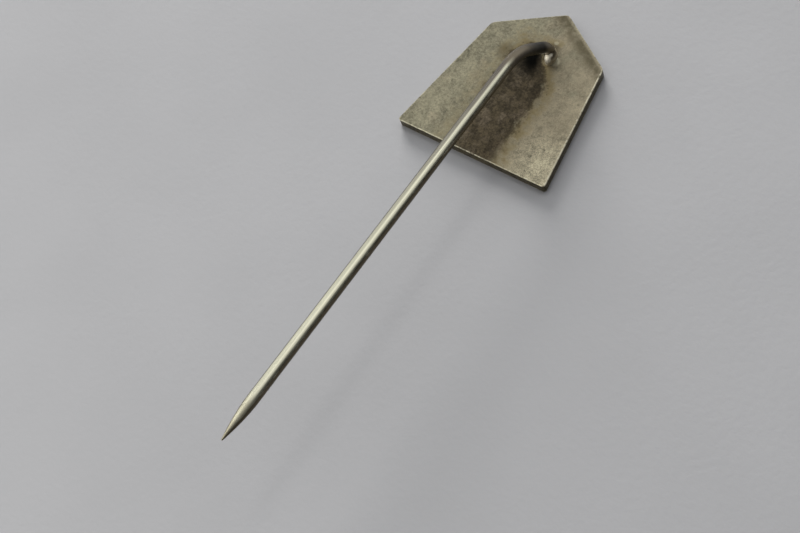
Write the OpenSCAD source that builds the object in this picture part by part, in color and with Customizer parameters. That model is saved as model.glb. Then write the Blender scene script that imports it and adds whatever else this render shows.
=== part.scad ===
// Lapel stick pin: a five-sided badge plate with a long bent needle soldered to its back.
// The plate lies on its front face. +Z points off the front face towards the needle's side,
// +Y points from the straight edge to the peak, and the origin is the middle of the front face.

/* [Plate] */
// Width of the plate along its straight bottom edge
bottom_width = 17.5; // [14:0.5:22]
// Width of the plate across its two shoulders
shoulder_width = 13.3; // [10:0.1:16]
// Height of the shoulders above the bottom edge
shoulder_height = 14; // [12:0.1:16]
// Height of the peak above the bottom edge
plate_height = 18.1; // [17:0.1:22]
// Thickness of the plate
plate_thickness = 1; // [0.8:0.1:2]
// Radius of the plate's five corners
corner_radius = 0.3; // [0.1:0.05:1]

/* [Solder foot] */
// Distance of the needle's foot to the right of the plate's middle line
foot_offset = 1.1; // [-3:0.1:3]
// Height of the needle's foot above the bottom edge
foot_height = 13; // [10:0.1:14]
// Radius of the solder mound where it meets the plate
solder_radius = 1; // [0.9:0.1:2]
// Height that the solder climbs up the wire
solder_height = 1.3; // [0.4:0.1:1.5]

/* [Pin wire] */
// Diameter of the wire
wire_diameter = 1.2; // [0.8:0.1:1.4]
// Length of the upright post between the plate's back and the first bend
post_length = 0.7; // [0.6:0.1:1.5]
// Radius of the first, tight bend, at the wire's axis
first_bend_radius = 2.6; // [1.5:0.1:3]
// Angle that the first bend turns away from upright, in degrees
first_bend_angle = 43; // [30:1:60]
// Radius of the second, wide bend, at the wire's axis
second_bend_radius = 5; // [3:0.1:6]
// Height of the needle's axis above the plate's back where the second bend ends
needle_clearance = 6.15; // [5.8:0.05:8]
// Angle at which the needle rises away from the plate, in degrees
needle_rise = 2.3; // [0:0.1:4]
// Length of the needle's straight, full-width stretch
needle_length = 40; // [20:0.5:50]
// Length of the sharpened point
point_length = 4.8; // [2:0.1:8]
// Fullness of the point's outline: 1 is a straight cone, and more is rounder
point_fullness = 1.9; // [1:0.1:2.5]
// Diameter of the needle's very end
tip_diameter = 0.16; // [0.1:0.02:0.3]

/* [Hidden] */
$fn = 64;

wire_radius = wire_diameter / 2;
// The wire and the solder start this far inside the plate, where they are fused to it
sunk = 0.2;
// Each bend ends in a ball this much fatter than the wire, which fuses it to the next stretch
ball_excess = 0.01;
// The point is this many short cones, each steeper than the last
point_steps = 6;
tip_radius = tip_diameter / 2;
// Elevation of the slanted stretch, and the angle that the second bend turns
slant_angle = 90 - first_bend_angle;
second_bend_angle = slant_angle - needle_rise;
// Height that each bend gains, and the slanted stretch that makes up the rest
first_bend_gain = first_bend_radius * sin(first_bend_angle);
second_bend_gain = second_bend_radius * (cos(needle_rise) - cos(slant_angle));
slant_gain = needle_clearance - post_length - first_bend_gain - second_bend_gain;
slant_length = slant_gain / sin(slant_angle);

// The plate's corners, anticlockwise from the bottom left
middle = plate_height / 2;
corners = [
    [-bottom_width / 2, -middle],
    [bottom_width / 2, -middle],
    [shoulder_width / 2, shoulder_height - middle],
    [0, plate_height - middle],
    [-shoulder_width / 2, shoulder_height - middle]
];

function unit(v) = v / norm(v);
function corner(i) = corners[(i + len(corners)) % len(corners)];
function to_next(i) = unit(corner(i + 1) - corner(i));
function to_last(i) = unit(corner(i - 1) - corner(i));
// Half of the angle inside a corner
function half_angle(i) = acos(to_next(i) * to_last(i)) / 2;
// Where a corner's rounding touches its two edges, and the rounding's centre
function setback(i) = corner_radius / tan(half_angle(i));
function touch_points(i) = [corner(i) + to_last(i) * setback(i), corner(i) + to_next(i) * setback(i)];
function round_centre(i) = corner(i) + unit(to_next(i) + to_last(i)) * corner_radius / sin(half_angle(i));

module badge_plate() {
    flat_outline = [for (i = [0:len(corners) - 1]) each touch_points(i)];
    color("#8c8470") {
        linear_extrude(height = plate_thickness) polygon(flat_outline);
        for (i = [0:len(corners) - 1])
            translate(round_centre(i)) cylinder(h = plate_thickness, r = corner_radius);
    }
}

module solder_foot() {
    color("#a09884")
        cylinder(h = sunk + solder_height, r1 = solder_radius, r2 = wire_radius + 0.1);
}

// A straight stretch of wire along +Z, with the next stretch at its end
module straight_wire(length) {
    cylinder(h = length, r = wire_radius);
    translate([0, 0, length]) children();
}

// A bend that starts along +Z and turns towards -Y, with the next stretch at its end
module bent_wire(radius, angle) {
    translate([0, -radius, 0])
        rotate([90, 0, 90])
            rotate_extrude(angle = angle)
                translate([radius, 0]) circle(r = wire_radius);
    translate([0, radius * (cos(angle) - 1), radius * sin(angle)])
        rotate([angle, 0, 0]) {
            sphere(r = wire_radius + ball_excess);
            children();
        }
}

// Radius of the point at a share of its length
function point_radius(share) = tip_radius + (wire_radius - tip_radius) * (1 - pow(share, point_fullness));

// The sharpened end, with its very tip rounded
module needle_point() {
    outline = [for (i = [0:point_steps]) [point_radius(i / point_steps), point_length * i / point_steps]];
    rotate_extrude() polygon([[0, 0], each outline, [0, point_length]]);
    translate([0, 0, point_length]) sphere(r = tip_radius);
}

module pin_wire() {
    color("#c8c4b4")
        straight_wire(sunk + post_length)
            bent_wire(first_bend_radius, first_bend_angle)
                straight_wire(slant_length)
                    bent_wire(second_bend_radius, second_bend_angle)
                        straight_wire(needle_length)
                            needle_point();
}

module stick_pin() {
    badge_plate();
    translate([foot_offset, foot_height - middle, plate_thickness - sunk]) {
        solder_foot();
        pin_wire();
    }
}

stick_pin();
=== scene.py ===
"""Lapel stick pin lying on its front face, with the bent needle on its tarnished back."""
import functools
import math

import bpy
from bpy.props import FloatProperty, FloatVectorProperty, IntProperty, PointerProperty
from mathutils import Matrix, Vector
from mathutils.kdtree import KDTree


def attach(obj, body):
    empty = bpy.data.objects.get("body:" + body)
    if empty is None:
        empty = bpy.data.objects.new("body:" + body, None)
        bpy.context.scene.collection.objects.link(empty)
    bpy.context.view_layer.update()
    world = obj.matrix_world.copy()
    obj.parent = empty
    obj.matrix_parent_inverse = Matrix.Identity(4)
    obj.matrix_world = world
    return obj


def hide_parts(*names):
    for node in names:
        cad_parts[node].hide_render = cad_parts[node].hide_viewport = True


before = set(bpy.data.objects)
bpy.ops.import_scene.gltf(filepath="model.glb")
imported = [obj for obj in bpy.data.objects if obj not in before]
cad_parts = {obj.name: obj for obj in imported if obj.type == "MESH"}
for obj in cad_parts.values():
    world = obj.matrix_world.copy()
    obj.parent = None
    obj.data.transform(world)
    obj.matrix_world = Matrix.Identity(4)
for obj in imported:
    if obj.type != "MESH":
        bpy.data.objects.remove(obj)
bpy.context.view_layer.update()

bl_info = {
    "name": "Lapel Stick Pin",
    "version": (1, 0, 0),
    "blender": (4, 5, 0),
    "location": "View3D > Sidebar > Stick Pin",
    "description": "Models a soldered lapel stick pin seen from behind",
    "category": "Add Mesh",
}

NODE = "stick_pin"
BODY = "root"
MM = 0.001


# Settings

def size(name, about, default_mm):
    """A length that the user may change. Its default is given in millimetres."""
    return FloatProperty(
        name=name, description=about, default=default_mm * MM,
        min=0.0, precision=5, subtype="DISTANCE", unit="LENGTH",
    )


def angle(name, about, default_degrees):
    """An angle that the user may change. Its default is given in degrees."""
    return FloatProperty(
        name=name, description=about, default=math.radians(default_degrees),
        subtype="ANGLE", unit="ROTATION",
    )


def share(name, about, default):
    """A plain number from 0 to 1 that the user may change."""
    return FloatProperty(name=name, description=about, default=default, min=0.0, max=1.0)


def colour(name, about, default):
    """A colour, given as the eye sees it, from 0 to 255 a channel."""
    return FloatVectorProperty(
        name=name, description=about, default=[linear(v / 255) for v in default],
        size=3, min=0.0, max=1.0, subtype="COLOR",
    )


def power(name, about, default):
    """The power of a light, in watts."""
    return FloatProperty(name=name, description=about, default=default, min=0.0, unit="POWER")


def linear(v):
    """The light that a channel of a colour on a screen stands for."""
    return v / 12.92 if v <= 0.04045 else ((v + 0.055) / 1.055) ** 2.4


class PlateSettings(bpy.types.PropertyGroup):
    """Sizes and colours of the badge plate."""
    bottom_width: size("Bottom width", "Width of the plate along its straight edge", 17.5)
    shoulder_width: size("Shoulder width", "Width of the plate across its shoulders", 13.3)
    shoulder_height: size("Shoulder height", "Height of the shoulders above the straight edge", 14.0)
    height: size("Height", "Height of the peak above the straight edge", 18.1)
    thickness: size("Thickness", "Thickness of the plate", 1.0)
    corner_cut: size("Corner cut", "How far each corner's rounding reaches along its edges", 0.36)
    edge_round: size("Edge round", "Width of the worn rounding along the edges", 0.05)
    grain_step: size("Grain step", "Spacing of the mesh on the two faces", 0.15)
    relief: size("Relief", "Depth of the uneven places on the back", 0.05)
    metal: colour("Metal", "Tarnished metal of the back", (139, 133, 114))
    pale_metal: colour("Pale metal", "Cleaner metal near the bottom right corner", (159, 152, 129))
    edge_metal: colour("Edge metal", "Burnished metal along the edges", (190, 185, 160))
    stain: colour("Stain", "Heat stain round and below the needle's foot", (68, 60, 46))
    haze: colour("Haze", "Lighter clouds in the heat stain", (87, 78, 65))
    # Burnt flux near the foot, made darker as painted shade under the wire's bend; the pits use it too
    soot_and_shade: colour("Soot", "Burnt flux close to the needle's foot", (10, 10, 8))
    fringe: colour("Fringe", "Golden fringe of the heat stain", (122, 110, 80))
    # Darker colour of the side walls
    wall: colour("Wall", "Grimy side walls", (82, 73, 46))
    front: colour("Front", "Plain satin metal of the front face", (196, 188, 166))


class WireSettings(bpy.types.PropertyGroup):
    """Sizes and colours of the needle's wire."""
    diameter: size("Diameter", "Diameter of the wire", 1.2)
    foot_offset: size("Foot offset", "Distance of the foot to the right of the plate's middle line", 1.1)
    foot_height: size("Foot height", "Height of the foot above the plate's straight edge", 13.0)
    post: size("Post", "Length of the upright post below the first bend", 0.7)
    first_radius: size("First bend", "Radius of the first, tight bend", 2.6)
    first_angle: angle("First angle", "Angle that the first bend turns", 43)
    second_radius: size("Second bend", "Radius of the second, wide bend", 5.0)
    clearance: size("Clearance", "Height of the needle's axis over the back, after the bends", 6.15)
    rise: angle("Rise", "Angle at which the needle rises away from the plate", 2.3)
    needle: size("Needle", "Length of the straight stretch of full width", 40.0)
    point: size("Point", "Length of the sharpened point", 4.8)
    tip: size("Tip", "Diameter of the needle's very end", 0.16)
    fullness: FloatProperty(
        name="Fullness", description="Shape of the point: 1 is a straight cone, and more is rounder",
        default=1.9, min=1.0, max=3.0,
    )
    sides: IntProperty(name="Sides", description="Faces round the wire", default=40, min=12, max=96)
    metal: colour("Metal", "Bright drawn wire", (226, 223, 198))
    # Grey film on the wire's left flank, laid darker near the plate as a painted reflection
    tint: colour("Tint", "Grey film on the wire's flank near the plate", (109, 102, 95))
    # Dark tarnish on the freckles and the point, also laid as painted shade along the wire's underside
    tarnish_and_shade: colour("Tarnish", "Dark tarnish along the wire's underside", (96, 88, 72))
    film: colour("Film", "Grey film on the wire where it was warm", (126, 117, 101))
    oxide: colour("Oxide", "Black film on the wire where it was hot", (27, 23, 17))


class SolderSettings(bpy.types.PropertyGroup):
    """Sizes and colours of the solder round the needle's foot."""
    radius: size("Radius", "Radius of the mound on the plate", 0.66)
    height: size("Height", "Height that the solder climbs up the wire", 1.25)
    voxel: size("Detail", "Fineness of the solder's mesh", 0.035)
    metal: colour("Metal", "Solder", (226, 219, 200))
    flux: colour("Flux", "Burnt flux on the solder", (70, 62, 46))


class StageSettings(bpy.types.PropertyGroup):
    """Floor, light and camera."""
    floor_width: size("Floor width", "Width of the floor", 1600.0)
    floor: colour("Floor", "Pale floor", (160, 160, 162))
    lens: FloatProperty(
        name="Lens", description="Focal length in millimetres for a 36 mm sensor", default=81.0, min=1.0
    )
    key_power: power("Key power", "Power of the soft light above", 0.1)
    shadow_power: power("Shadow power", "Power of the light that draws the needle's shadow", 0.48)
    low_power: power("Low power", "Power of the low light that draws the plate's shadow", 9.0)
    card_power: power("Card power", "Power of the white card that shows in reflections alone", 4.3)
    bright_side: share("Bright side", "Strength of the sky on the left and behind", 0.8)
    dark_side: share("Dark side", "Strength of the sky on the other side", 0.07)


GROUPS = {
    "pin_plate": PlateSettings,
    "pin_wire": WireSettings,
    "pin_solder": SolderSettings,
    "pin_stage": StageSettings,
}


# Modelling helpers

def deselect_all():
    """Leaves edit mode and selects nothing, so that the next operator acts on its own piece alone."""
    if bpy.context.object and bpy.context.object.mode != "OBJECT":
        bpy.ops.object.mode_set(mode="OBJECT")
    bpy.ops.object.select_all(action="DESELECT")


def start_edit(select="SELECT", kind="VERT"):
    """Opens the active piece in edit mode with all or none of it selected."""
    bpy.ops.object.mode_set(mode="EDIT")
    bpy.ops.mesh.select_mode(type=kind)
    bpy.ops.mesh.select_all(action=select)


def pick_edges(piece, test):
    """Selects the piece's edges that pass the test, in edit mode."""
    start_edit("DESELECT", "EDGE")
    bpy.ops.object.mode_set(mode="OBJECT")
    for edge in piece.data.edges:
        edge.select = test(edge)
    bpy.ops.object.mode_set(mode="EDIT")


def leave_edit():
    """Back to object mode, which also writes the edit into the mesh."""
    bpy.ops.object.mode_set(mode="OBJECT")


def name_piece(name):
    """Names the active object and its mesh, puts its place into its mesh and returns it."""
    piece = bpy.context.object
    bpy.ops.object.transform_apply(location=True, rotation=True, scale=True)
    piece.name = name
    piece.data.name = name
    return piece


def add_modifier(piece, kind, **values):
    """Adds a modifier with these values and applies it."""
    modifier = piece.modifiers.new(kind.title(), kind)
    for key, value in values.items():
        setattr(modifier, key, value)
    bpy.context.view_layer.objects.active = piece
    bpy.ops.object.modifier_apply(modifier=modifier.name)


def lumps(name, width):
    """A cloudy pattern for a Displace modifier, with lumps of about this width."""
    texture = bpy.data.textures.new(name, "CLOUDS")
    texture.noise_scale = width
    texture.noise_depth = 3
    return texture


def weigh(piece, name, weight):
    """A vertex group that holds weight(place, normal) at each vertex."""
    group = piece.vertex_groups.new(name=name)
    for vertex in piece.data.vertices:
        group.add([vertex.index], weight(vertex.co, vertex.normal), "REPLACE")
    return name


def hand_over(piece, material):
    """Gives a finished piece its material, and its place in the frame."""
    piece.data.materials.clear()
    piece.data.materials.append(material)
    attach(piece, BODY)
    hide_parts(NODE)


def ease(value):
    """A smooth step from 0 to 1."""
    value = min(max(value, 0.0), 1.0)
    return value * value * (3 - 2 * value)


# Material helpers

def toned(base, factors):
    """A colour times one number, or times one number for each channel."""
    if isinstance(factors, float):
        factors = (factors,) * len(base)
    return [channel * factor for channel, factor in zip(base, factors)]


class Paint:
    """Builds one node material. Patterns are placed in millimetres on the piece."""

    def __init__(self, name):
        self.material = bpy.data.materials.new(name)
        self.material.use_nodes = True
        self.nodes = self.material.node_tree.nodes
        self.links = self.material.node_tree.links
        self.shader = self.nodes["Principled BSDF"]
        place = self.nodes.new("ShaderNodeTexCoord").outputs["Object"]
        self.place = self.scaled(place, (1 / MM,) * 3)
        # The colour painted so far, over which each layer is laid
        self.base = None

    def feed(self, socket, source):
        """Links a socket to its source, or sets its value where the source is a number or a colour."""
        if isinstance(source, bpy.types.NodeSocket):
            self.links.new(source, socket)
        elif socket.type == "RGBA":
            socket.default_value = (*source, 1.0)
        else:
            socket.default_value = source

    def scaled(self, place, scale):
        """Stretches the place that a pattern reads, so that the pattern shrinks by as much."""
        node = self.nodes.new("ShaderNodeMapping")
        self.links.new(place, node.inputs["Vector"])
        node.inputs["Scale"].default_value = scale
        return node.outputs["Vector"]

    def parts(self, place):
        """The three numbers of a place."""
        node = self.nodes.new("ShaderNodeSeparateXYZ")
        self.links.new(place, node.inputs["Vector"])
        return node.outputs["X"], node.outputs["Y"], node.outputs["Z"]

    def noise(self, width, detail, rough, seed, place=None):
        """Cloudy noise from 0 to 1, with lumps of about this width in millimetres."""
        node = self.nodes.new("ShaderNodeTexNoise")
        node.noise_dimensions = "4D"
        self.links.new(place or self.place, node.inputs["Vector"])
        node.inputs["W"].default_value = seed
        node.inputs["Scale"].default_value = 1 / width
        node.inputs["Detail"].default_value = detail
        node.inputs["Roughness"].default_value = rough
        return node.outputs["Fac"]

    def cells(self, width, seed):
        """Distance to the nearest of some scattered points, in cell widths."""
        node = self.nodes.new("ShaderNodeTexVoronoi")
        node.voronoi_dimensions = "4D"
        self.links.new(self.place, node.inputs["Vector"])
        node.inputs["W"].default_value = seed
        node.inputs["Scale"].default_value = 1 / width
        return node.outputs["Distance"]

    def calculate(self, kind, a, b=0.0):
        """One step of arithmetic on sockets or numbers."""
        node = self.nodes.new("ShaderNodeMath")
        node.operation = kind
        self.feed(node.inputs[0], a)
        self.feed(node.inputs[1], b)
        return node.outputs["Value"]

    def add(self, *values):
        return functools.reduce(lambda a, b: self.calculate("ADD", a, b), values)

    def minus(self, a, b):
        return self.calculate("SUBTRACT", a, b)

    def times(self, *values):
        return functools.reduce(lambda a, b: self.calculate("MULTIPLY", a, b), values)

    def least(self, *values):
        return functools.reduce(lambda a, b: self.calculate("MINIMUM", a, b), values)

    def swing(self, pattern, amount):
        """Turns a pattern from 0 to 1 into one that swings evenly about 0."""
        return self.times(self.add(pattern, -0.5), 2 * amount)

    def reach(self, direction, start):
        """Distance in millimetres along a direction in the plate's plane, from a start point."""
        node = self.nodes.new("ShaderNodeVectorMath")
        node.operation = "DOT_PRODUCT"
        self.links.new(self.place, node.inputs[0])
        node.inputs[1].default_value = (*direction, 0)
        return self.minus(node.outputs["Value"], start[0] * direction[0] + start[1] * direction[1])

    def square_distance(self, spot):
        """Square of the distance from a spot in the plate's plane, in square millimetres."""
        across, along = self.reach((1, 0), spot), self.reach((0, 1), spot)
        return self.add(self.times(across, across), self.times(along, along))

    def step(self, value, low, high, to_low=0.0, to_high=1.0):
        """Runs smoothly from one value to another as the input goes from low to high."""
        node = self.nodes.new("ShaderNodeMapRange")
        node.interpolation_type = "SMOOTHSTEP"
        backwards = low > high
        self.feed(node.inputs["Value"], value)
        node.inputs["From Min"].default_value = high if backwards else low
        node.inputs["From Max"].default_value = low if backwards else high
        node.inputs["To Min"].default_value = to_high if backwards else to_low
        node.inputs["To Max"].default_value = to_low if backwards else to_high
        return node.outputs["Result"]

    def mix(self, share_of_b, a, b):
        """Colour a where the share is 0, and colour b where it is 1."""
        node = self.nodes.new("ShaderNodeMix")
        node.data_type = "RGBA"
        factor, first, second, result = node.inputs[0], node.inputs[6], node.inputs[7], node.outputs[2]
        self.feed(factor, share_of_b)
        self.feed(first, a)
        self.feed(second, b)
        return result

    def lay(self, share_of_layer, layer):
        """Lays a colour over what is painted so far."""
        self.base = self.mix(share_of_layer, self.base, layer)

    def shade(self, base, factor):
        """Multiplies a colour by a number."""
        node = self.nodes.new("ShaderNodeVectorMath")
        node.operation = "SCALE"
        self.links.new(base, node.inputs[0])
        self.feed(node.inputs["Scale"], factor)
        return node.outputs["Vector"]

    def bump(self, height, depth_mm, under=None):
        """Small relief of this depth in millimetres, over the relief under it."""
        node = self.nodes.new("ShaderNodeBump")
        node.inputs["Distance"].default_value = depth_mm * MM
        self.links.new(height, node.inputs["Height"])
        if under is not None:
            self.links.new(under, node.inputs["Normal"])
        return node.outputs["Normal"]

    def finish(self, roughness, metallic, normal):
        """Feeds the shader and returns the finished material."""
        self.feed(self.shader.inputs["Base Color"], self.base)
        self.feed(self.shader.inputs["Roughness"], roughness)
        self.feed(self.shader.inputs["Metallic"], metallic)
        self.links.new(normal, self.shader.inputs["Normal"])
        return self.material


# Badge plate

# How near, in metres, a vertex counts as lying on a cut, and on one of the two faces
ON_THE_CUT, ON_THE_FACE = 1e-7, 1e-6
# The relief reaches its full depth this far from the plate's edges
RELIEF_MARGIN = 0.6 * MM
# Each pattern of the relief: its name, its width and its share of the depth
RELIEF_PATTERNS = (("hollows", 2.2 * MM, 0.55), ("dents", 0.55 * MM, 0.45))


def plate_corners(plate):
    """The plate's corners in the frame, anticlockwise from the bottom left."""
    middle = plate.height / 2
    half, half_shoulder = plate.bottom_width / 2, plate.shoulder_width / 2
    shoulder = plate.shoulder_height - middle
    return [
        Vector((-half, -middle)), Vector((half, -middle)), Vector((half_shoulder, shoulder)),
        Vector((0, middle)), Vector((-half_shoulder, shoulder)),
    ]


def plate_edges(plate):
    """Each edge's start corner and its inward direction."""
    corners = plate_corners(plate)
    for i, start in enumerate(corners):
        along = (corners[(i + 1) % len(corners)] - start).normalized()
        yield start, Vector((-along.y, along.x))


def cut_plate_blank(plate):
    """A flat sheet cut along the plate's five edges, with rounded corners."""
    deselect_all()
    bpy.ops.mesh.primitive_plane_add(size=1.5 * plate.height, location=(0, 0, plate.thickness))
    blank = name_piece("badge_plate")
    for start, inward in plate_edges(plate):
        start_edit()
        bpy.ops.mesh.bisect(
            plane_co=(*start, plate.thickness), plane_no=(*-inward, 0),
            clear_outer=True, threshold=ON_THE_CUT,
        )
        leave_edit()
    start_edit()
    bpy.ops.mesh.bevel(offset=plate.corner_cut, segments=4, affect="VERTICES", profile=0.5)
    leave_edit()
    return blank


def thicken_plate(blank, plate):
    """Extrudes the sheet down to the front face, and rounds the edges of both faces."""
    start_edit()
    bpy.ops.mesh.extrude_region_move(TRANSFORM_OT_translate={"value": (0, 0, -plate.thickness)})
    bpy.ops.mesh.select_all(action="SELECT")
    bpy.ops.mesh.normals_make_consistent(inside=False)
    leave_edit()
    heights = [v.co.z for v in blank.data.vertices]
    for level in (max(heights), min(heights)):
        def on_rim(edge):
            a, b = (blank.data.vertices[i].co.z for i in edge.vertices)
            return abs(a - level) < ON_THE_FACE and abs(b - level) < ON_THE_FACE
        pick_edges(blank, on_rim)
        bpy.ops.mesh.bevel(offset=plate.edge_round, segments=3, profile=0.5)
        leave_edit()


def slice_plate(plate):
    """Cuts both faces into a fine grid, which then holds the relief."""
    for axis, width in ((0, plate.bottom_width), (1, plate.height)):
        count = round(width / plate.grain_step)
        direction = tuple(float(i == axis) for i in range(3))
        start_edit()
        for i in range(1, count):
            bpy.ops.mesh.select_all(action="SELECT")
            place = tuple((i / count - 0.5) * width * v for v in direction)
            bpy.ops.mesh.bisect(plane_co=place, plane_no=direction, threshold=ON_THE_CUT)
        leave_edit()


def edge_distance(place, plate):
    """How far a place on the plate lies inside its outline."""
    flat = Vector((place.x, place.y))
    return min((flat - start).dot(inward) for start, inward in plate_edges(plate))


def roughen_plate(blank, plate):
    """Presses shallow hollows and small pits into the back, clear of its edges."""
    def on_back(place, normal):
        return ease(normal.z * 4 - 3) * ease(edge_distance(place, plate) / RELIEF_MARGIN)
    back = weigh(blank, "back", on_back)
    for name, width, depth in RELIEF_PATTERNS:
        add_modifier(
            blank, "DISPLACE", texture=lumps(name, width), texture_coords="LOCAL",
            strength=-depth * plate.relief, mid_level=0.25, vertex_group=back,
        )


# Badge plate: finish

# Which edge is which in plate_edges
STRAIGHT_EDGE, RIGHT_EDGE, PEAK_EDGE = 0, 1, 2
# Marks on the back, in millimetres from the middle of the plate
SOOT_AND_SHADE_MIDDLE = (-0.45, 3.15)
FLECK_MIDDLE = (0.75, 5.6)
# Middle of the pale solder spread, which is also painted light over the foot's shade
WASH_AND_PAINTED_LIGHT_MIDDLE = (1.8, 3.6)
# Each dark patch: its middle, its spread in square millimetres and its darkness
DARK_PATCHES = (((-3.4, 2.6), 1.8, 0.4), ((0.8, 4.85), 0.9, 0.7))


class PlatePaint(Paint):
    """Finds where each mark of the plate lies, and lays the marks over each other."""

    def __init__(self, plate):
        super().__init__("tarnished_plate")
        self.plate = plate
        self.x, self.y, self.z = self.parts(self.place)
        self.broad = self.noise(3.2, 3, 0.55, seed=1.0)
        self.medium = self.noise(0.9, 4, 0.6, seed=2.0)
        self.fine = self.noise(0.24, 3, 0.65, seed=3.0)
        self.grain = self.noise(0.1, 2, 0.6, seed=4.0)
        self.ragged = self.add(
            self.swing(self.medium, 1.1), self.swing(self.broad, 0.8), self.swing(self.fine, 0.6)
        )
        self.sides = [self.reach(inward, start / MM) for start, inward in plate_edges(plate)]
        self.corner = self.times(self.step(self.x, 2.5, 7.0), self.step(self.y, -2.0, -7.0))
        self.pits, self.grains = self.find_pits_and_grains()
        self.dark, self.fringe = self.find_heat_stain()
        self.soot_and_shade = self.find_soot_and_shade()
        self.wash_and_painted_light = self.find_wash_and_painted_light()
        self.worn = self.find_worn_edges()
        self.front = self.step(self.z, 0.06, 0.03)

    def find_pits_and_grains(self):
        """Dark pits in patches, and bright grains, most of both near the bottom right corner."""
        patches = self.add(self.noise(1.6, 2, 0.5, seed=6.0), self.times(self.corner, 0.25))
        pits = self.step(self.add(self.cells(0.8, seed=7.0), self.swing(self.fine, 0.1)), 0.24, 0.1)
        grains = self.step(self.cells(0.3, seed=8.0), 0.22, 0.08)
        return (
            self.times(pits, self.step(patches, 0.46, 0.66)),
            self.times(grains, self.step(self.corner, 0.0, 1.0, 0.12, 0.4)),
        )

    def find_heat_stain(self):
        """Where the plate got hot: a dark band from the foot to the straight edge, and its fringe."""
        # How far a place lies inside the stain's left, right and top borders
        left = self.times(self.add(self.x, self.step(self.y, 2.6, 4.4, 3.1, 1.7)), 0.6)
        right = self.minus(self.step(self.y, -0.5, 4.6, 3.0, 0.6), self.x)
        top = self.times(self.minus(4.7, self.y), 0.8)
        inside = self.add(self.least(left, right, top), self.ragged)
        softer_below = self.times(inside, self.step(self.y, -8.0, -4.0, 0.5, 1.0))
        upper_left = self.times(self.step(self.x, 1.0, -3.0), self.step(self.y, 3.2, 1.6))
        fringe = self.times(
            self.step(inside, -1.4, 0.0), self.step(inside, 1.2, 0.4),
            self.step(upper_left, 0.0, 1.0, 0.75, 0.35), self.step(self.medium, 0.35, 0.6, 0.45, 1.2),
        )
        return self.step(softer_below, -0.15, 0.6), fringe

    def find_soot_and_shade(self):
        """Burnt flux beside the foot, on the side that the needle leaves by, laid darker as painted
        shade under the wire's bend.
        """
        across = self.reach((0.88, 0.47), SOOT_AND_SHADE_MIDDLE)
        across = self.times(across, self.step(across, -0.1, 0.3, 1.1, 1.9))
        along = self.times(self.reach((0.58, -0.81), SOOT_AND_SHADE_MIDDLE), 0.62)
        away = self.calculate("SQRT", self.add(self.times(across, across), self.times(along, along)))
        burnt_and_shaded = self.step(self.add(away, self.times(self.ragged, 0.3)), 2.0, 0.5)
        return self.times(burnt_and_shaded, self.step(self.y, 4.8, 4.1))

    def find_wash_and_painted_light(self):
        """A thin spread of solder on the plate at the right of the foot, painted paler as light over the
        shade that the foot casts there.
        """
        away = self.add(self.square_distance(WASH_AND_PAINTED_LIGHT_MIDDLE), self.times(self.ragged, 0.12))
        return self.step(away, 0.4, 0.05)

    def find_worn_edges(self):
        """Chipped bright lines along the edges, strongest on the right and at the straight edge."""
        wear = self.add(
            self.step(self.least(*self.sides), 0.12, 0.06, 0.0, 0.5),
            self.step(self.sides[STRAIGHT_EDGE], 0.12, 0.07, 0.0, 0.3),
            self.step(self.sides[RIGHT_EDGE], 0.18, 0.12),
        )
        chips = self.add(self.times(self.fine, 0.65), self.times(self.medium, 0.35))
        return self.times(self.least(wear, 1.0), self.step(chips, 0.42, 0.58, 0.15, 1.0))

    def lay_metal(self):
        """Mottled tarnish, paler and coarser near the bottom right corner."""
        metal = self.plate.metal
        greenish, brownish = toned(metal, (0.98, 1.0, 0.96)), toned(metal, (1.03, 0.99, 0.95))
        hue = self.add(self.noise(2.4, 3, 0.6, seed=5.0), self.times(self.x, 0.03))
        self.base = self.mix(self.step(hue, 0.35, 0.65), greenish, brownish)
        self.lay(self.times(self.corner, 0.85), self.plate.pale_metal)
        smooth_side = self.times(self.step(self.x, 0.5, 3.0), self.step(self.corner, 0.3, 0.0))
        mottle = self.add(
            1.0, self.swing(self.broad, 0.45), self.swing(self.medium, 0.5),
            self.times(self.swing(self.fine, 0.8), self.step(smooth_side, 0.0, 1.0, 1.0, 0.6)),
            self.times(self.swing(self.grain, 1.0), self.step(self.corner, 0.0, 1.0, 0.4, 1.3)),
            self.times(self.swing(self.medium, 0.4), self.corner), self.times(self.x, 0.014),
        )
        self.base = self.shade(self.base, mottle)

    def lay_pits_and_grains(self):
        """Pits as dark as the burnt flux, and grains of bare metal."""
        self.lay(self.times(self.pits, 0.6), self.plate.soot_and_shade)
        self.lay(self.grains, self.plate.edge_metal)

    def lay_heat_stain(self):
        """The golden fringe, and over it the clouded dark band with its spots and bare flecks."""
        plate = self.plate
        self.lay(self.fringe, plate.fringe)
        stained = self.mix(self.step(self.medium, 0.38, 0.6), toned(plate.stain, 0.55), plate.stain)
        clouds = self.step(self.noise(1.4, 5, 0.65, seed=10.0), 0.46, 0.64)
        stained = self.mix(self.times(clouds, 0.75), stained, plate.haze)
        speckle = self.add(self.times(self.fine, 0.7), self.times(self.grain, 0.3))
        speckle = self.step(speckle, 0.36, 0.66, 0.62, 1.55)
        darker_upwards = self.step(self.reach((-0.5, 0.86), (0.0, 1.2)), -2.5, 1.5, 1.1, 0.52)
        stained = self.shade(stained, self.times(speckle, darker_upwards))
        self.lay(self.times(self.dark, 0.97), stained)
        spots = self.times(
            self.step(self.cells(0.5, seed=11.0), 0.24, 0.1), self.step(self.fringe, 0.15, 0.4)
        )
        self.lay(self.times(spots, 0.6), plate.stain)
        flecks = self.times(self.step(self.cells(0.55, seed=12.0), 0.16, 0.05), self.dark)
        self.lay(self.times(flecks, 0.4), plate.metal)

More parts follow.
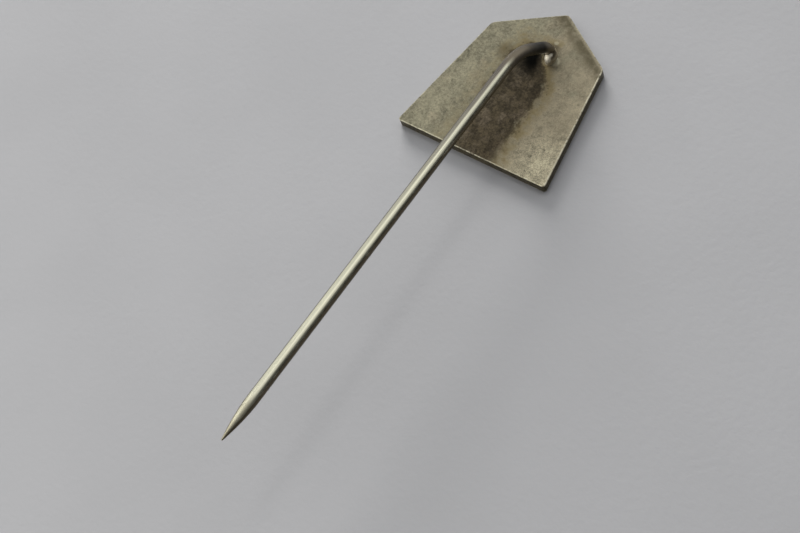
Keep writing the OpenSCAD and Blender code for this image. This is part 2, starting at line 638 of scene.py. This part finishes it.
    def lay_patches_soot_and_shade(self):
        """Two dark patches round the foot, and the burnt flux beside it, darkened as painted shade."""
        for middle, spread, darkness in DARK_PATCHES:
            away = self.add(self.square_distance(middle), self.times(self.ragged, 0.3 * spread))
            self.lay(self.step(away, spread, 0.0, 0.0, darkness), self.plate.stain)
        # Painted shade: the burnt flux is laid very dark under the wire's bend
        self.lay(self.soot_and_shade, self.plate.soot_and_shade)

    def lay_patina(self):
        """A dark band inside the right-hand edge of the peak."""
        side = self.sides[PEAK_EDGE]
        patina = self.times(
            self.step(side, 0.12, 0.4), self.step(side, 1.9, 0.6),
            self.step(self.medium, 0.35, 0.58, 0.3, 1.0), 0.8,
        )
        self.lay(patina, toned(self.plate.metal, (0.3, 0.28, 0.22)))

    def lay_solder(self):
        """A fleck of solder behind the foot, and at its right a pale spread of solder that is also
        painted light over the foot's shade.
        """
        fleck = self.add(self.square_distance(FLECK_MIDDLE), self.swing(self.fine, 0.06))
        self.lay(self.step(fleck, 0.09, 0.01, 0.0, 0.35), self.plate.edge_metal)
        # Painted light: the pale spread lifts the shade beside the foot
        self.lay(self.times(self.wash_and_painted_light, 0.85), self.plate.edge_metal)

    def lay_edges(self):
        """Worn edges, and darker mottled side walls below them."""
        plate = self.plate
        top = plate.thickness / MM
        self.lay(self.worn, plate.edge_metal)
        wall = self.times(self.step(self.z, top - 0.07, top - 0.13), self.step(self.z, 0.06, 0.12))
        wall_tone = self.mix(self.step(self.medium, 0.3, 0.7), toned(plate.wall, 0.6), plate.wall)
        self.lay(wall, self.shade(wall_tone, self.add(0.7, self.fine)))

    def lay_front(self):
        """Plain satin metal, brushed across, on the front face."""
        brushed = self.noise(0.1, 3, 0.6, seed=9.0, place=self.scaled(self.place, (0.03, 1, 1)))
        satin = self.plate.front
        satin = self.mix(self.step(self.broad, 0.3, 0.7), toned(satin, 0.85), satin)
        self.lay(self.front, self.shade(satin, self.add(0.8, self.times(brushed, 0.4))))

    def polish(self):
        """Dull where it is stained, smoother and less metallic along the worn edges."""
        rough = self.add(
            self.step(self.medium, 0.3, 0.75, 0.4, 0.52), self.times(self.dark, 0.1),
            self.times(self.soot_and_shade, 0.15), self.times(self.worn, -0.08), self.times(self.front, -0.12),
        )
        metallic = self.add(
            0.92, self.times(self.soot_and_shade, 0.08), self.times(self.worn, -0.85), self.times(self.wash_and_painted_light, -0.6)
        )
        normal = self.bump(self.grain, 0.012)
        normal = self.bump(self.fine, 0.022, under=normal)
        normal = self.bump(self.medium, 0.03, under=normal)
        normal = self.bump(self.minus(self.grains, self.pits), 0.02, under=normal)
        return self.finish(rough, metallic, normal)


def plate_material(plate):
    """Olive-grey tarnished metal with pits, worn edges, and a heat stain below the needle's foot."""
    paint = PlatePaint(plate)
    paint.lay_metal()
    paint.lay_pits_and_grains()
    paint.lay_heat_stain()
    paint.lay_patches_soot_and_shade()
    paint.lay_patina()
    paint.lay_solder()
    paint.lay_edges()
    paint.lay_front()
    return paint.polish()


class PIN_OT_badge_plate(bpy.types.Operator):
    """Models the five-sided plate that the needle is soldered to"""
    bl_idname = "stick_pin.badge_plate"
    bl_label = "Badge Plate"

    def execute(self, context):
        plate = context.scene.pin_plate
        piece = cut_plate_blank(plate)
        thicken_plate(piece, plate)
        slice_plate(plate)
        roughen_plate(piece, plate)
        bpy.ops.object.shade_smooth_by_angle(angle=math.radians(40))
        hand_over(piece, plate_material(plate))
        return {"FINISHED"}


# Pin wire

# The wire starts this far inside the plate
WIRE_SUNK = 0.02 * MM
# How long the tip's rounded end is for its width, and how far it closes
TIP_ROUNDING, TIP_CLOSED = 0.45, 0.95
# The vertex attribute that keeps each vertex's place on the wire
WIRE_PLACE = "wire_place"


class Turtle:
    """Draws a wire out of a ring of vertices, and keeps where its end is and the way it heads."""

    def __init__(self, radius, sides, place):
        deselect_all()
        bpy.ops.mesh.primitive_circle_add(vertices=sides, radius=radius, location=place)
        self.piece = name_piece("pin_wire")
        self.place = Vector(place)
        self.tilt = 0.0
        self.travelled = 0.0
        self.rings = [(self.place.copy(), self.upward, 0.0)]
        start_edit()

    @property
    def heading(self):
        """Upright at first, and turned towards -Y by the tilt."""
        return Vector((0, -math.sin(self.tilt), math.cos(self.tilt)))

    @property
    def upward(self):
        """The side of the wire that ends up on top once it lies level."""
        return Vector((0, math.cos(self.tilt), math.sin(self.tilt)))

    def keep_ring(self, length):
        """Notes where the end ring is, after the wire grew by this length."""
        self.travelled += length
        self.rings.append((self.place.copy(), self.upward, self.travelled))

    def straight(self, length, steps, width=lambda part: 1.0):
        """Extrudes the end ring in equal steps. Its width depends on the part that is done."""
        for i in range(steps):
            move = self.heading * (length / steps)
            bpy.ops.mesh.extrude_region_move(TRANSFORM_OT_translate={"value": move})
            self.place += move
            scale = width((i + 1) / steps) / width(i / steps)
            if scale != 1:
                bpy.ops.transform.resize(value=(scale,) * 3, center_override=self.place)
            self.keep_ring(length / steps)

    def bend(self, radius, turn, steps):
        """Spins the end ring towards -Y."""
        centre = self.place - self.upward * radius
        bpy.ops.mesh.spin(steps=steps, angle=-turn, center=centre, axis=(1, 0, 0))
        for _ in range(steps):
            self.tilt += turn / steps
            self.place = centre + self.upward * radius
            self.keep_ring(radius * turn / steps)

    def close(self):
        """Fills the end ring and returns the finished piece."""
        bpy.ops.mesh.edge_face_add()
        leave_edit()
        return self.piece


def foot_place(wire, plate):
    """Where the wire's middle line meets the plate's back."""
    return Vector((wire.foot_offset, wire.foot_height - plate.height / 2, plate.thickness))


def draw_wire(wire, plate):
    """Draws the wire from foot to point. Returns it, its rings and its length before the point."""
    slant = math.radians(90) - wire.first_angle
    gained = wire.post + wire.first_radius * math.sin(wire.first_angle)
    gained += wire.second_radius * (math.cos(wire.rise) - math.cos(slant))
    slant_length = (wire.clearance - gained) / math.sin(slant)
    turtle = Turtle(wire.diameter / 2, wire.sides, foot_place(wire, plate) - Vector((0, 0, WIRE_SUNK)))
    turtle.straight(wire.post, steps=3)
    turtle.bend(wire.first_radius, wire.first_angle, steps=12)
    turtle.straight(slant_length, steps=8)
    turtle.bend(wire.second_radius, slant - wire.rise, steps=16)
    turtle.straight(wire.needle, steps=130)
    before_point = turtle.travelled
    tip = wire.tip / wire.diameter

    def sharpened(part):
        """Width of the point, from the wire's own down to the tip's."""
        return tip + (1 - tip) * (1 - part ** wire.fullness)

    def rounded(part):
        """Width of the tip's rounded end, which closes almost to nothing."""
        return math.sqrt(1 - (TIP_CLOSED * part) ** 2)

    turtle.straight(wire.point, steps=24, width=sharpened)
    turtle.straight(wire.tip * TIP_ROUNDING, steps=4, width=rounded)
    return turtle.close(), turtle.rings, before_point


def mark_wire(piece, rings):
    """Keeps at each vertex which way it faces round the wire, and how far along the wire it is."""
    nearest = KDTree(len(rings))
    for i, (centre, _, _) in enumerate(rings):
        nearest.insert(centre, i)
    nearest.balance()
    attribute = piece.data.attributes.new(WIRE_PLACE, "FLOAT_VECTOR", "POINT")
    for vertex, place in zip(piece.data.vertices, attribute.data):
        _, i, _ = nearest.find(vertex.co)
        centre, upward, along = rings[i]
        outward = (vertex.co - centre).normalized()
        place.vector = (outward.x, outward.dot(upward), along / MM)


def facing(paint, place, degrees):
    """1 on the wire's side at this angle and -1 opposite. 0 degrees is +X, and 90 is the top."""
    x, up, _ = paint.parts(place)
    turn = math.radians(degrees)
    return paint.add(paint.times(x, math.cos(turn)), paint.times(up, math.sin(turn)))


def wire_material(wire, before_point):
    """Drawn wire: bright on top, with painted shade underneath and a painted reflection on its flank
    near the plate, and dark with oxide at its foot.
    """
    paint = Paint("drawn_wire")
    attribute = paint.nodes.new("ShaderNodeAttribute")
    attribute.attribute_name = WIRE_PLACE
    place = attribute.outputs["Vector"]
    _, _, along = paint.parts(place)
    drawn = paint.noise(0.16, 2, 0.5, seed=1.0, place=paint.scaled(place, (1, 1, 0.04)))
    blotches = paint.noise(1.3, 4, 0.65, seed=2.0)
    pores = paint.noise(0.16, 3, 0.7, seed=3.0)

    def uneven_along(amount):
        """The distance along the wire, moved by blotches of up to this many millimetres."""
        return paint.add(along, paint.swing(blotches, amount))

    # Where the wire is darker round it: painted shade underneath, a painted reflection on its left
    # flank, a darker lower left edge, and freckles
    underside = paint.add(
        facing(paint, place, -25), paint.swing(blotches, 0.25), paint.swing(drawn, 0.15)
    )
    # Painted shade along the wire's underside
    painted_underside_shade = paint.step(underside, 0.3, 0.65)
    near_plate = paint.step(along, 26.0, 8.0, 0.0, 0.22)
    flank = paint.add(facing(paint, place, 165), paint.swing(drawn, 0.2), near_plate)
    flank_film_and_reflection = paint.times(paint.step(flank, 0.0, 0.4), paint.step(uneven_along(4.0), 42.0, 4.0))
    lower_flank = paint.step(paint.add(facing(paint, place, 200), paint.swing(drawn, 0.1)), 0.1, 0.5)
    freckles = paint.times(paint.step(pores, 0.62, 0.74), paint.step(blotches, 0.4, 0.65))

    # Where it is marked by heat or by grinding along it, and painted shade below the heated stretch
    heated = paint.step(uneven_along(0.8), 9.8, 8.2)
    scorched = paint.times(paint.step(uneven_along(1.6), 7.0, 3.3), paint.step(along, 2.0, 3.4))
    # Painted shade on the wire's lower side past the first bend, laid with the heat film
    painted_shade_below = paint.times(
        paint.step(facing(paint, place, -40), -0.2, 0.7), paint.step(along, 2.4, 3.8, 0.0, -0.75)
    )
    point_start = before_point / MM
    past = paint.add(along, paint.times(blotches, 1.5))
    point = paint.step(past, point_start - 0.41, point_start + 2.59)
    tip = paint.step(uneven_along(0.6), point_start + 2.49, point_start + 4.29)

    # Layers of colour
    paint.base = paint.mix(
        paint.times(paint.step(blotches, 0.35, 0.75), 0.2), wire.metal, toned(wire.metal, 0.75)
    )
    paint.lay(paint.times(freckles, 0.35), wire.tarnish_and_shade)
    # Film and painted reflection on the left flank near the plate
    paint.lay(flank_film_and_reflection, wire.tint)
    paint.lay(paint.times(lower_flank, 0.95), wire.tarnish_and_shade)
    # Painted shade: the underside is laid dark
    paint.lay(painted_underside_shade, wire.tarnish_and_shade)
    # Heat film and oxide, with painted shade on their lower side
    burnt_and_shaded = paint.shade(paint.mix(scorched, wire.film, wire.oxide), paint.add(1.0, painted_shade_below))
    paint.lay(paint.times(heated, 0.982), burnt_and_shaded)
    paint.lay(paint.times(point, 0.5), wire.tarnish_and_shade)
    paint.lay(paint.times(tip, 0.6), wire.tarnish_and_shade)

    # Finish
    rough = paint.add(
        paint.step(drawn, 0.3, 0.7, 0.2, 0.28), paint.times(freckles, 0.1),
        paint.times(heated, 0.16), paint.times(point, 0.28),
    )
    normal = paint.bump(drawn, 0.003)
    normal = paint.bump(pores, 0.003, under=normal)
    return paint.finish(rough, 1.0, normal)


class PIN_OT_pin_wire(bpy.types.Operator):
    """Models the bent wire that ends in the needle's point"""
    bl_idname = "stick_pin.pin_wire"
    bl_label = "Pin Wire"

    def execute(self, context):
        wire, plate = context.scene.pin_wire, context.scene.pin_plate
        piece, rings, before_point = draw_wire(wire, plate)
        mark_wire(piece, rings)
        bpy.ops.object.shade_smooth_by_angle(angle=math.radians(50))
        hand_over(piece, wire_material(wire, before_point))
        return {"FINISHED"}


# Solder foot

# The mound starts this far inside the plate, and its rim stands this far above it
MOUND_SUNK, MOUND_RIM = 0.1 * MM, 0.02 * MM
# The mound's top ring is a little narrower than the wire, so that it ends inside it
MOUND_TOP = 0.9
MOUND_STEPS = 8
# Width and depth of the solder's fine unevenness
GRAIN_WIDTH, GRAIN_DEPTH = 0.6 * MM, 0.015 * MM
# Each lump: its place from the wire's foot, and its radii, both in millimetres
SOLDER_LUMPS = (
    ((0.45, -0.36, 0.82), (0.58, 0.82, 0.6)),
    ((0.22, -0.3, 0.15), (0.48, 0.76, 0.75)),
    ((0.04, 0.16, 0.75), (0.58, 0.58, 0.7)),
    ((-0.3, 0.3, 0.0), (0.5, 0.5, 0.3)),
)


def add_blob(place, radii):
    """A lump of solder, with its own radius along each axis."""
    bpy.ops.mesh.primitive_uv_sphere_add(segments=32, ring_count=20, radius=radii[0], location=place)
    start_edit()
    bpy.ops.transform.resize(value=[radius / radii[0] for radius in radii], center_override=place)
    leave_edit()
    return bpy.context.object


def solder_mound(solder, wire, foot):
    """A ring on the plate that climbs the wire in a hollow curve."""
    bpy.ops.mesh.primitive_circle_add(
        vertices=48, radius=solder.radius, fill_type="NGON", location=foot - Vector((0, 0, MOUND_SUNK))
    )
    piece = bpy.context.object
    start_edit()
    bpy.ops.mesh.extrude_region_move(TRANSFORM_OT_translate={"value": (0, 0, MOUND_SUNK + MOUND_RIM)})
    top = wire.diameter / 2 * MOUND_TOP
    radius = solder.radius
    turns = [math.radians(90) * i / MOUND_STEPS for i in range(MOUND_STEPS + 1)]
    for last_turn, turn in zip(turns, turns[1:]):
        wanted = solder.radius - (solder.radius - top) * math.sin(turn)
        lift = solder.height * (math.cos(last_turn) - math.cos(turn))
        bpy.ops.mesh.extrude_region_move(TRANSFORM_OT_translate={"value": (0, 0, lift)})
        bpy.ops.transform.resize(value=(wanted / radius, wanted / radius, 1), center_override=foot)
        radius = wanted
    bpy.ops.mesh.select_all(action="SELECT")
    bpy.ops.mesh.normals_make_consistent(inside=False)
    leave_edit()
    return piece


def solder_material(solder, foot):
    """Clean solder, painted bright on its front shoulder as a highlight, dull with painted shade at its
    right, and burnt flux elsewhere.
    """
    paint = Paint("solder")
    x, y, z = (paint.minus(at, start) for at, start in zip(paint.parts(paint.place), foot / MM))
    lumpy = paint.noise(0.5, 4, 0.6, seed=1.0)
    fine = paint.noise(0.12, 3, 0.6, seed=2.0)
    ragged_x, ragged_y, ragged_z = (paint.add(value, paint.swing(lumpy, 0.3)) for value in (x, y, z))
    # Painted highlight: clean solder laid bright where its highlight falls on the front shoulder
    clean_and_highlight = paint.times(
        paint.step(ragged_y, -0.05, -0.4), paint.step(ragged_x, 0.9, 0.6),
        paint.step(ragged_x, -0.6, -0.15), paint.step(ragged_z, 0.25, 0.75),
    )
    # Lower front: a paler copy of the solder, partly spread solder and partly painted light over the
    # shade at its foot
    skirt = paint.times(paint.step(z, 0.5, 0.15), paint.step(y, 0.1, -0.3), paint.step(x, -0.25, 0.15))
    # Painted shade: a darker copy of the solder on its right side
    right = paint.times(paint.step(ragged_x, -0.1, 0.35), paint.step(z, 1.3, 0.9))

    # Layers of colour
    paint.base = paint.mix(paint.step(lumpy, 0.3, 0.7), solder.flux, toned(solder.flux, 1.25))
    paint.lay(paint.times(right, 0.9), toned(solder.metal, (0.62, 0.57, 0.47)))
    paint.lay(skirt, toned(solder.metal, (0.78, 0.74, 0.66)))
    bright = paint.mix(paint.step(lumpy, 0.35, 0.7), solder.metal, toned(solder.metal, 0.7))
    paint.lay(clean_and_highlight, bright)

    # Finish
    rough = paint.add(paint.step(fine, 0.3, 0.7, 0.6, 0.68), paint.step(clean_and_highlight, 0.0, 1.0, 0.15, 0.0))
    dull = paint.times(paint.least(paint.add(right, skirt), 1.0), paint.step(clean_and_highlight, 0.0, 1.0, 1.0, 0.0))
    metallic = paint.add(paint.step(clean_and_highlight, 0.0, 1.0, 0.9, 0.5), paint.times(dull, -0.55))
    return paint.finish(rough, metallic, paint.bump(fine, 0.006))


class PIN_OT_solder_foot(bpy.types.Operator):
    """Models the lumpy solder round the needle's foot"""
    bl_idname = "stick_pin.solder_foot"
    bl_label = "Solder Foot"

    def execute(self, context):
        scene = context.scene
        solder, wire = scene.pin_solder, scene.pin_wire
        foot = foot_place(wire, scene.pin_plate)
        deselect_all()
        parts = [solder_mound(solder, wire, foot)]
        for offset, radii in SOLDER_LUMPS:
            parts.append(add_blob(foot + Vector(offset) * MM, [radius * MM for radius in radii]))
        for part in parts:
            part.select_set(True)
        context.view_layer.objects.active = parts[0]
        bpy.ops.object.join()
        piece = name_piece("solder_foot")
        add_modifier(piece, "REMESH", mode="VOXEL", voxel_size=solder.voxel)
        add_modifier(piece, "SMOOTH", factor=0.5, iterations=34)
        add_modifier(
            piece, "DISPLACE", texture=lumps("solder", GRAIN_WIDTH), texture_coords="LOCAL",
            strength=GRAIN_DEPTH, mid_level=0.5,
        )
        bpy.ops.object.shade_smooth()
        hand_over(piece, solder_material(solder, foot))
        return {"FINISHED"}


# Stage

LAMP_COLOUR = (1.0, 0.99, 0.96)
SKY_COLOUR = (0.97, 0.98, 1.0)
# Direction of the brightest sky, and between which cosines from it the sky falls off
BRIGHTEST_SKY = (-0.65, 0.6, 0.35)
SKY_EDGE = (-0.16, 0.3)
# The camera's place in millimetres, where its picture's right side points and where it looks
CAMERA_PLACE = (77.3, -70.85, 145.5)
CAMERA_RIGHT = (0.7947, 0.561, -0.2317)
CAMERA_AHEAD = (-0.4471, 0.283, -0.8485)
SENSOR_WIDTH = 36.0
NEAREST_SEEN = 0.01
# The floor lies this far below the plate, so that the two faces don't flicker
FLOOR_GAP = 0.01 * MM


def floor_material(stage):
    """Plain pale floor with a faint grain."""
    paint = Paint("floor")
    broad = paint.noise(14.0, 3, 0.5, seed=1.0)
    grain = paint.noise(0.7, 3, 0.6, seed=2.0)
    paint.base = paint.mix(paint.step(broad, 0.3, 0.7), stage.floor, toned(stage.floor, 0.96))
    normal = paint.bump(grain, 0.02)
    return paint.finish(0.55, 0.0, normal)


def add_lamp(name, place, width, watts):
    """A square soft light at this place in metres, aimed at the plate's middle."""
    light = bpy.data.lights.new(name, "AREA")
    light.shape = "SQUARE"
    light.size = width
    light.energy = watts
    light.color = LAMP_COLOUR
    lamp = bpy.data.objects.new(name, light)
    bpy.context.scene.collection.objects.link(lamp)
    lamp.location = place
    lamp.rotation_euler = (-Vector(place)).to_track_quat("-Z", "Y").to_euler()
    return lamp


def light_stage(stage):
    """One soft light over all, two for the shadows on the floor, and a card for the reflections."""
    add_lamp("key", place=(-0.06, 0.235, 0.6), width=0.3, watts=stage.key_power)
    shadow = add_lamp("shadow_light", place=(-0.16, 0.2, 0.6), width=0.16, watts=stage.shadow_power)
    low = add_lamp("low_light", place=(-0.45, 0.43, 0.16), width=0.3, watts=stage.low_power)
    card = add_lamp("card", place=(-0.37, -0.3, 0.36), width=0.6, watts=stage.card_power)
    shadow.visible_glossy = low.visible_glossy = False
    card.visible_diffuse = False


def light_sky(stage):
    """A sky that is bright at the left and behind, and falls off to a dark room at the right."""
    world = bpy.data.worlds.new("soft_sky")
    bpy.context.scene.world = world
    world.use_nodes = True
    nodes, links = world.node_tree.nodes, world.node_tree.links
    direction = nodes.new("ShaderNodeTexCoord").outputs["Generated"]
    towards = nodes.new("ShaderNodeVectorMath")
    towards.operation = "DOT_PRODUCT"
    links.new(direction, towards.inputs[0])
    towards.inputs[1].default_value = Vector(BRIGHTEST_SKY).normalized()
    ramp = nodes.new("ShaderNodeMapRange")
    ramp.interpolation_type = "SMOOTHSTEP"
    links.new(towards.outputs["Value"], ramp.inputs["Value"])
    ramp.inputs["From Min"].default_value, ramp.inputs["From Max"].default_value = SKY_EDGE
    ramp.inputs["To Min"].default_value = stage.dark_side
    ramp.inputs["To Max"].default_value = stage.bright_side
    background = nodes["Background"]
    background.inputs["Color"].default_value = (*SKY_COLOUR, 1.0)
    links.new(ramp.outputs["Result"], background.inputs["Strength"])


def place_camera(stage):
    """The camera stands where the photograph was taken from, and leans to one side as it did."""
    camera_data = bpy.data.cameras.new("camera")
    camera_data.lens = stage.lens
    camera_data.sensor_width = SENSOR_WIDTH
    camera_data.clip_start = NEAREST_SEEN
    camera = bpy.data.objects.new("camera", camera_data)
    bpy.context.scene.collection.objects.link(camera)
    right = Vector(CAMERA_RIGHT).normalized()
    ahead = Vector(CAMERA_AHEAD).normalized()
    up = right.cross(ahead).normalized()
    right = ahead.cross(up)
    turn = Matrix((right, up, -ahead)).transposed()
    camera.matrix_world = Matrix.Translation(Vector(CAMERA_PLACE) * MM) @ turn.to_4x4()
    bpy.context.scene.camera = camera


class PIN_OT_stage(bpy.types.Operator):
    """Sets up the floor, the soft light and the camera"""
    bl_idname = "stick_pin.stage"
    bl_label = "Stage"

    def execute(self, context):
        stage = context.scene.pin_stage
        deselect_all()
        bpy.ops.mesh.primitive_plane_add(size=stage.floor_width, location=(0, 0, -FLOOR_GAP))
        floor = name_piece("floor")
        floor.data.materials.append(floor_material(stage))
        light_stage(stage)
        light_sky(stage)
        place_camera(stage)
        context.scene.view_settings.view_transform = "Standard"
        return {"FINISHED"}


class VIEW3D_PT_stick_pin(bpy.types.Panel):
    """Lists the pin's settings and the buttons that model it"""
    bl_label = "Stick Pin"
    bl_space_type = "VIEW_3D"
    bl_region_type = "UI"
    bl_category = "Stick Pin"

    def draw(self, context):
        for operator, group in zip(OPERATORS, GROUPS):
            box = self.layout.box()
            settings = getattr(context.scene, group)
            for name in GROUPS[group].__annotations__:
                box.prop(settings, name)
            box.operator(operator.bl_idname)


OPERATORS = (PIN_OT_badge_plate, PIN_OT_pin_wire, PIN_OT_solder_foot, PIN_OT_stage)


def register():
    for group in GROUPS.values():
        bpy.utils.register_class(group)
    for operator in OPERATORS:
        bpy.utils.register_class(operator)
    bpy.utils.register_class(VIEW3D_PT_stick_pin)
    for name, group in GROUPS.items():
        setattr(bpy.types.Scene, name, PointerProperty(type=group))


def unregister():
    for name in GROUPS:
        delattr(bpy.types.Scene, name)
    bpy.utils.unregister_class(VIEW3D_PT_stick_pin)
    for operator in OPERATORS:
        bpy.utils.unregister_class(operator)
    for group in GROUPS.values():
        bpy.utils.unregister_class(group)


def main():
    register()
    bpy.ops.stick_pin.stage()
    bpy.ops.stick_pin.badge_plate()
    bpy.ops.stick_pin.pin_wire()
    bpy.ops.stick_pin.solder_foot()


if __name__ == "__main__":
    main()
